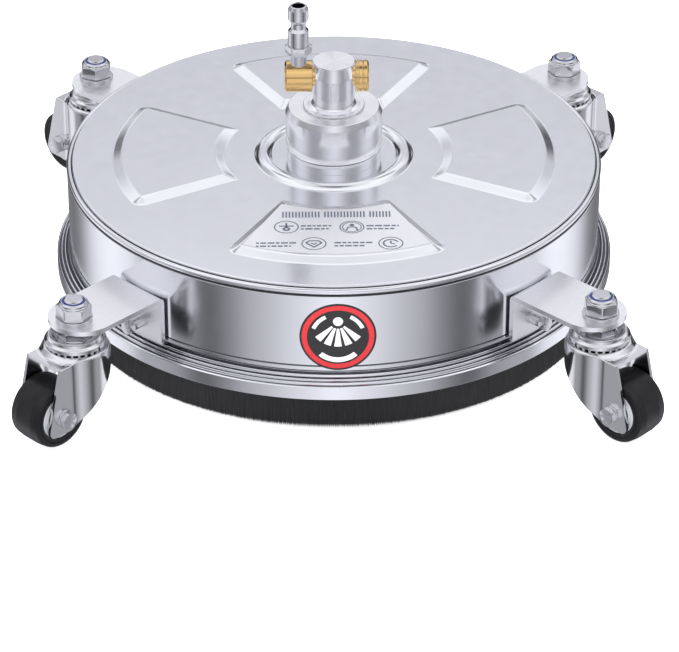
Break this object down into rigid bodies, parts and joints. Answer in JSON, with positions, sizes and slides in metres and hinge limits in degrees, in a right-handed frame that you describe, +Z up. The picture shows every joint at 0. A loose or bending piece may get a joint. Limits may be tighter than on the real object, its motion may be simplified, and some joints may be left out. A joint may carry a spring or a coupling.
{
  "type": "rotary surface cleaner",
  "caption": "Round stainless rotary surface cleaner on swivel casters, with a brush skirt, a spinning spray bar under the deck and a swinging quick-connect inlet.",
  "frame": {"origin": "on the floor, below the middle of the round housing", "axes": "+Z up along the spindle; -Y is the front, where the round badge is; +X to the right seen from the front"},
  "size_m": [0.3946, 0.3946, 0.2052],
  "materials": {
    "stainless_polished": "polished",
    "stainless_satin": "satin",
    "stainless_machined": "machined",
    "bristle_nylon": "fine upright bristles",
    "black_plastic": "moulded",
    "badge_vinyl": "printed vinyl",
    "zinc_steel": "zinc plated",
    "bearing_steel": "ground",
    "spring_steel": "phosphated",
    "seal_rubber": "moulded",
    "ptfe": "smooth",
    "blue_nylon": "moulded",
    "brass": "turned",
    "chrome_plate": "bright",
    "tyre_rubber": "semi gloss",
    "grey_plastic": "moulded"
  },
  "bodies": {
    "root": {"deck_cover": "stainless_polished", "lower_flange": "stainless_polished", "brush_holder": "black_plastic", "brush_bristles": "bristle_nylon", "badge": "badge_vinyl", "hub_base": "stainless_polished", "backing_plate": "stainless_satin", "bearing_housing": "stainless_polished", "hub_screws": "zinc_steel", "inlet_post": "stainless_polished", "water_seal": "ptfe", "bearing_outer_rings": "bearing_steel", "bearing_balls": "bearing_steel", "housing_clip": "spring_steel", "shaft_seal": "seal_rubber", "bracket_front_left": "stainless_satin", "bracket_front_right": "stainless_satin", "bracket_rear_left": "stainless_satin", "bracket_rear_right": "stainless_satin", "bracket_bolts": "zinc_steel", "bracket_nuts": "zinc_steel", "caster_stems": "zinc_steel", "stem_washers": "zinc_steel", "stem_nuts": "zinc_steel", "nylon_inserts": "blue_nylon", "race_caps": "zinc_steel", "race_balls": "bearing_steel"},
    "inlet": {"pivot_tube": "brass", "pivot_end_cap": "brass", "pivot_clip": "brass", "pivot_o_rings": "seal_rubber", "inlet_plug": "zinc_steel"},
    "rotor": {"spindle": "stainless_machined", "bearing_inner_rings": "bearing_steel", "rotor_head": "stainless_machined", "spindle_nut": "stainless_machined", "spray_arm_left": "stainless_machined", "spray_arm_right": "stainless_machined", "nozzle_left": "stainless_machined", "nozzle_right": "stainless_machined"},
    "caster_front_left": {"fork_front_left": "chrome_plate", "axle_bolt_front_left": "zinc_steel", "axle_nut_front_left": "zinc_steel"},
    "wheel_front_left": {"tyre_front_left": "tyre_rubber", "wheel_hub_front_left": "grey_plastic"},
    "caster_front_right": {"fork_front_right": "chrome_plate", "axle_bolt_front_right": "zinc_steel", "axle_nut_front_right": "zinc_steel"},
    "wheel_front_right": {"tyre_front_right": "tyre_rubber", "wheel_hub_front_right": "grey_plastic"},
    "caster_rear_left": {"fork_rear_left": "chrome_plate", "axle_bolt_rear_left": "zinc_steel", "axle_nut_rear_left": "zinc_steel"},
    "wheel_rear_left": {"tyre_rear_left": "tyre_rubber", "wheel_hub_rear_left": "grey_plastic"},
    "caster_rear_right": {"fork_rear_right": "chrome_plate", "axle_bolt_rear_right": "zinc_steel", "axle_nut_rear_right": "zinc_steel"},
    "wheel_rear_right": {"tyre_rear_right": "tyre_rubber", "wheel_hub_rear_right": "grey_plastic"}
  },
  "joints": [
    {"name": "inlet_pivot", "type": "hinge", "parent": "root", "child": "inlet", "pos_m": [0, 0, 0.1558], "axis": [1, 0, 0], "range_deg": [-90, 90]},
    {"name": "rotor_spin", "type": "hinge", "parent": "root", "child": "rotor", "pos_m": [0, 0, 0.07], "axis": [0, 0, 1], "continuous": true},
    {"name": "swivel_front_left", "type": "hinge", "parent": "root", "child": "caster_front_left", "pos_m": [-0.15839, -0.15839, 0.055], "axis": [0, 0, 1], "continuous": true},
    {"name": "wheel_spin_front_left", "type": "hinge", "parent": "caster_front_left", "child": "wheel_front_left", "pos_m": [-0.17501, -0.17501, 0.021], "axis": [0.7071, -0.7071, 0], "continuous": true},
    {"name": "swivel_front_right", "type": "hinge", "parent": "root", "child": "caster_front_right", "pos_m": [0.15839, -0.15839, 0.055], "axis": [0, 0, 1], "continuous": true},
    {"name": "wheel_spin_front_right", "type": "hinge", "parent": "caster_front_right", "child": "wheel_front_right", "pos_m": [0.17501, -0.17501, 0.021], "axis": [0.7071, 0.7071, 0], "continuous": true},
    {"name": "swivel_rear_left", "type": "hinge", "parent": "root", "child": "caster_rear_left", "pos_m": [-0.15839, 0.15839, 0.055], "axis": [0, 0, 1], "continuous": true},
    {"name": "wheel_spin_rear_left", "type": "hinge", "parent": "caster_rear_left", "child": "wheel_rear_left", "pos_m": [-0.17501, 0.17501, 0.021], "axis": [-0.7071, -0.7071, 0], "continuous": true},
    {"name": "swivel_rear_right", "type": "hinge", "parent": "root", "child": "caster_rear_right", "pos_m": [0.15839, 0.15839, 0.055], "axis": [0, 0, 1], "continuous": true},
    {"name": "wheel_spin_rear_right", "type": "hinge", "parent": "caster_rear_right", "child": "wheel_rear_right", "pos_m": [0.17501, 0.17501, 0.021], "axis": [-0.7071, 0.7071, 0], "continuous": true}
  ]
}
